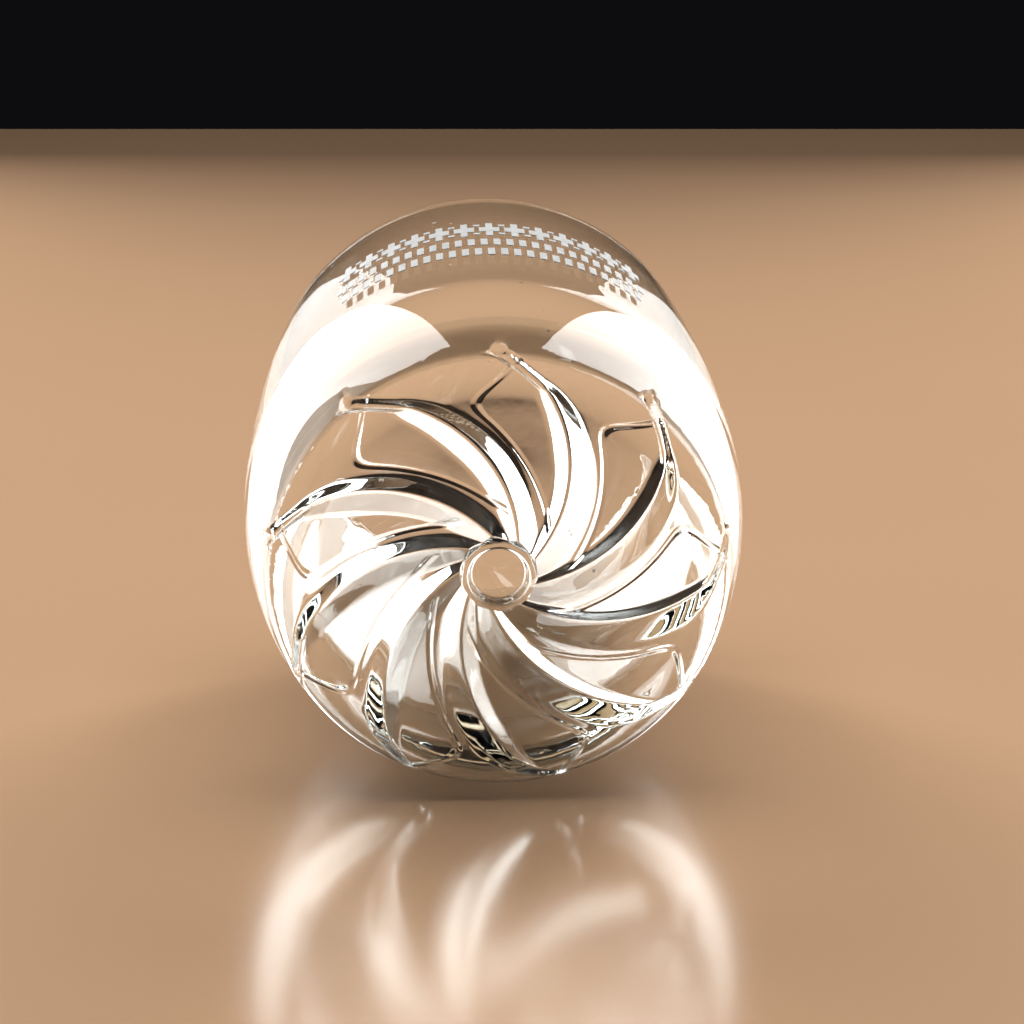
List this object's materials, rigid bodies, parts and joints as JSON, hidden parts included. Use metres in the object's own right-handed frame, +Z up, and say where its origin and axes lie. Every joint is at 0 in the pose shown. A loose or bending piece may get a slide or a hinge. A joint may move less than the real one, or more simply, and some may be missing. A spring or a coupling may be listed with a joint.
{
  "type": "whisky tumbler",
  "caption": "Heavy-based clear glass tumbler: smooth barrel-shaped wall, pinwheel of curved V-grooves and a sunken button underneath, white printed border on one side of the wall, above its middle.",
  "frame": {"origin": "on the axis of the glass, in the plane it stands on", "axes": "+Z runs up the axis from the base to the lip; -Y faces the middle of the printed border; +X is to the right of someone who looks at the border"},
  "size_m": [0.085, 0.0851, 0.088],
  "materials": {
    "clear_glass": "clear, colourless, fire-polished",
    "white_enamel": "satin screen-printed enamel"
  },
  "bodies": {
    "root": {"glass": "clear_glass", "printed_border": "white_enamel"}
  },
  "joints": []
}
